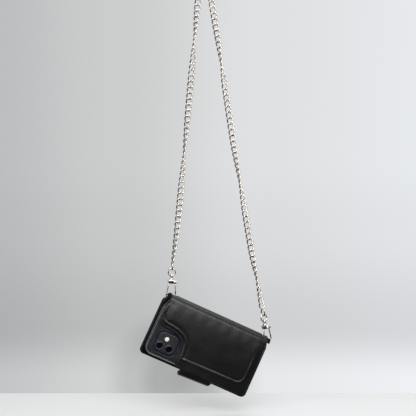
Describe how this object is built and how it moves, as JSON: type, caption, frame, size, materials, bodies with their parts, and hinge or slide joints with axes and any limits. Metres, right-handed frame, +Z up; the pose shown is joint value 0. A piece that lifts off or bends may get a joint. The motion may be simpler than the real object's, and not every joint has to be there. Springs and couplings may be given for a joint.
{
  "type": "chain wallet",
  "caption": "Leather phone wallet with a folding front cover and magnetic strap, hung by its spine from a curb chain through two swivel snap clasps.",
  "frame": {"origin": "top of the chain loop's hanging link, where the wallet is hung up", "axes": "+Z up, +Y out of the wallet's front cover, +X to the right when looking at the wallet's back with the cameras at lower left"},
  "size_m": [0.1793, 0.0174, 0.5808],
  "materials": {
    "black_leather": "smooth black leather, faint grain, satin sheen",
    "lining_fabric": "black microsuede, matt",
    "stiffener": "pressed fibre board, matt",
    "magnet": "plain plated, satin",
    "shell_rubber": "soft moulded rubber, satin",
    "phone_metal": "anodised dark, satin",
    "phone_glass": "glossy dark glass",
    "lens_glass": "coated dark lens glass",
    "flash_window": "translucent white plastic",
    "chain_silver": "polished silver plating",
    "clasp_silver": "polished silver plating",
    "spring_steel": "bright drawn wire"
  },
  "bodies": {
    "chain": {"top_link": "chain_silver", "chain_left": "chain_silver", "chain_right": "chain_silver", "end_link_left": "chain_silver", "end_link_right": "chain_silver"},
    "holder": {"back_panel": "black_leather", "spine_leather": "black_leather", "spine_lining": "lining_fabric", "phone_shell": "shell_rubber", "phone_frame": "phone_metal", "phone_screen": "phone_glass", "phone_back_glass": "phone_glass", "camera_island": "phone_glass", "flash_window": "flash_window", "lens_ring_1": "phone_metal", "lens_glass_1": "lens_glass", "lens_ring_2": "phone_metal", "lens_glass_2": "lens_glass", "clasp_frame_left": "clasp_silver", "gate_pin_left": "spring_steel", "gate_spring_left": "spring_steel", "clasp_frame_right": "clasp_silver", "gate_pin_right": "spring_steel", "gate_spring_right": "spring_steel"},
    "cover": {"cover_leather": "black_leather", "cover_board": "stiffener", "cover_magnet": "magnet", "cover_lining": "lining_fabric", "card_pocket_1": "black_leather", "card_pocket_2": "black_leather", "card_pocket_3": "black_leather", "slip_pocket": "black_leather"},
    "strap": {"strap_leather": "black_leather", "strap_lining": "lining_fabric", "strap_magnet": "magnet"},
    "swivel_left": {"swivel_eye_left": "clasp_silver", "jump_ring_left": "clasp_silver"},
    "gate_left": {"gate_left": "clasp_silver"},
    "swivel_right": {"swivel_eye_right": "clasp_silver", "jump_ring_right": "clasp_silver"},
    "gate_right": {"gate_right": "clasp_silver"}
  },
  "joints": [
    {"name": "hang_swing", "type": "hinge", "parent": "chain", "child": "holder", "pos_m": [-0.04176, 0, -0.40724], "axis": [0.8907, -0.0036, -0.4545], "range_deg": [-25, 25]},
    {"name": "swivel_turn_left", "type": "hinge", "parent": "holder", "child": "swivel_left", "pos_m": [-0.04306, 0, -0.42208], "axis": [0.0872, 0, 0.9962], "range_deg": [-18, 18]},
    {"name": "swivel_turn_right", "type": "hinge", "parent": "holder", "child": "swivel_right", "pos_m": [0.08494, -0.00051, -0.48551], "axis": [-0.1478, 0, 0.989], "range_deg": [-18, 18]},
    {"name": "gate_swing_left", "type": "hinge", "parent": "holder", "child": "gate_left", "pos_m": [-0.03748, 0, -0.42598], "axis": [0, 1, 0], "range_deg": [0, 7], "stiffness_Nm_per_rad": 0.02, "springref_deg": -11.46},
    {"name": "gate_swing_right", "type": "hinge", "parent": "holder", "child": "gate_right", "pos_m": [0.09073, 0.00199, -0.48808], "axis": [-0.418, 0.9063, -0.0625], "range_deg": [0, 7], "stiffness_Nm_per_rad": 0.02, "springref_deg": -11.46},
    {"name": "cover_hinge", "type": "hinge", "parent": "holder", "child": "cover", "pos_m": [0.01723, 0.0087, -0.47759], "axis": [0.907, 0, -0.421], "range_deg": [0, 165]},
    {"name": "strap_hinge", "type": "hinge", "parent": "holder", "child": "strap", "pos_m": [-0.0122, -0.0087, -0.55168], "axis": [-0.907, 0, 0.421], "range_deg": [0, 150]}
  ]
}
